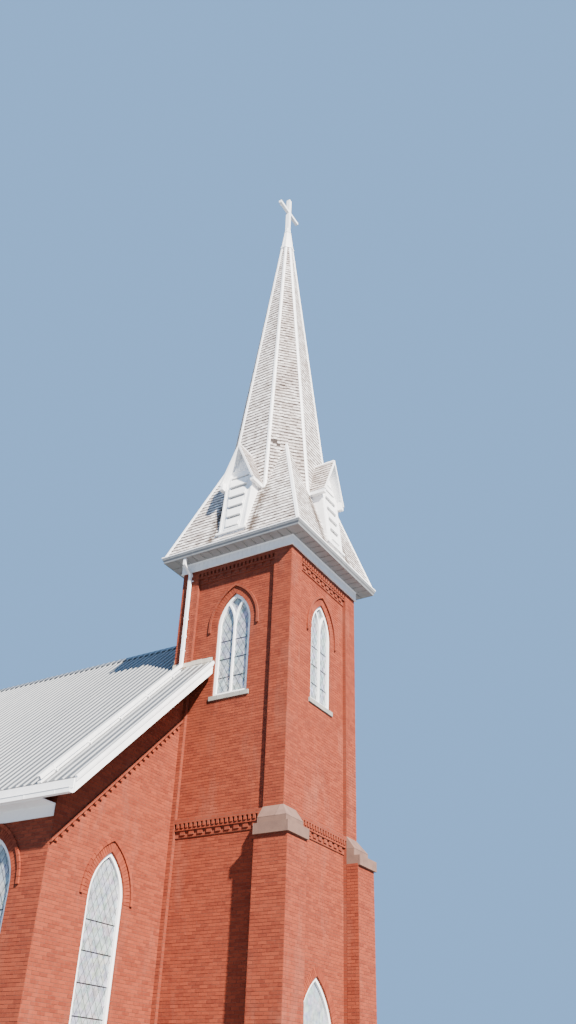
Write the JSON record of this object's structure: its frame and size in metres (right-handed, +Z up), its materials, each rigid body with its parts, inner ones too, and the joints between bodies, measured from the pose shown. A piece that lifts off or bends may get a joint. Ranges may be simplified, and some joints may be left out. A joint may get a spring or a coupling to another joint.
{
  "type": "brick church",
  "caption": "Brick church with a square front tower, a shingled broach spire with louvred dormers and a cross, and a long nave under a steep ribbed metal roof.",
  "frame": {"origin": "on the ground, on the vertical axis of the tower and spire", "axes": "+Z up, -Y towards the front that the door faces, +X to the right-hand side as the church looks from its front"},
  "size_m": [13, 21.066, 33.96],
  "materials": {
    "brick": "fired red brick in lime mortar, matt and a little weathered",
    "stone": "grey dressed stone, weathered and matt",
    "white_wood": "white painted boards and trim",
    "white_metal": "white painted sheet metal",
    "shingle": "weathered grey wooden shingles over boards",
    "roof_deck": "rafters and boards",
    "roof_metal": "light grey ribbed sheet",
    "glass": "dark leaded glass",
    "door_wood": "dark stained door boards",
    "floor_wood": "floor boards"
  },
  "bodies": {
    "root": {"buttress_caps": "stone", "dormer_bodies": "white_wood", "dormer_louvres": "white_wood", "dormer_rake_boards": "white_wood", "dormer_roofs": "shingle", "floors": "floor_wood", "front_door_fanlight": "glass", "front_door_frame": "white_wood", "front_door_leaves": "door_wood", "front_steps": "stone", "nave_back_wall": "brick", "nave_bargeboards": "white_wood", "nave_eave_boards": "white_wood", "nave_front_left_wall": "brick", "nave_front_right_wall": "brick", "nave_gutters": "white_metal", "nave_left_wall": "brick", "nave_plinth": "stone", "nave_ridge_cap": "roof_metal", "nave_right_wall": "brick", "nave_roof_deck_left": "roof_deck", "nave_roof_deck_right": "roof_deck", "nave_roof_sheet_left": "roof_metal", "nave_roof_sheet_right": "roof_metal", "nave_window_frames": "white_wood", "nave_window_glass": "glass", "spire_cap": "white_metal", "spire_cross": "white_metal", "spire_eave_boarding": "white_wood", "spire_hip_strips": "white_wood", "spire_shell": "shingle", "spire_skirt": "shingle", "tower_back_wall": "brick", "tower_buttresses": "brick", "tower_corbel_tables": "brick", "tower_downspout": "white_metal", "tower_frieze": "white_wood", "tower_front_wall": "brick", "tower_gutter": "white_metal", "tower_left_wall": "brick", "tower_passage_wall": "brick", "tower_plinth": "stone", "tower_right_wall": "brick", "tower_roof_flashing": "roof_metal", "tower_window_frames": "white_wood", "tower_window_glass": "glass", "tower_window_hoods": "brick", "window_sills": "stone"}
  },
  "joints": []
}
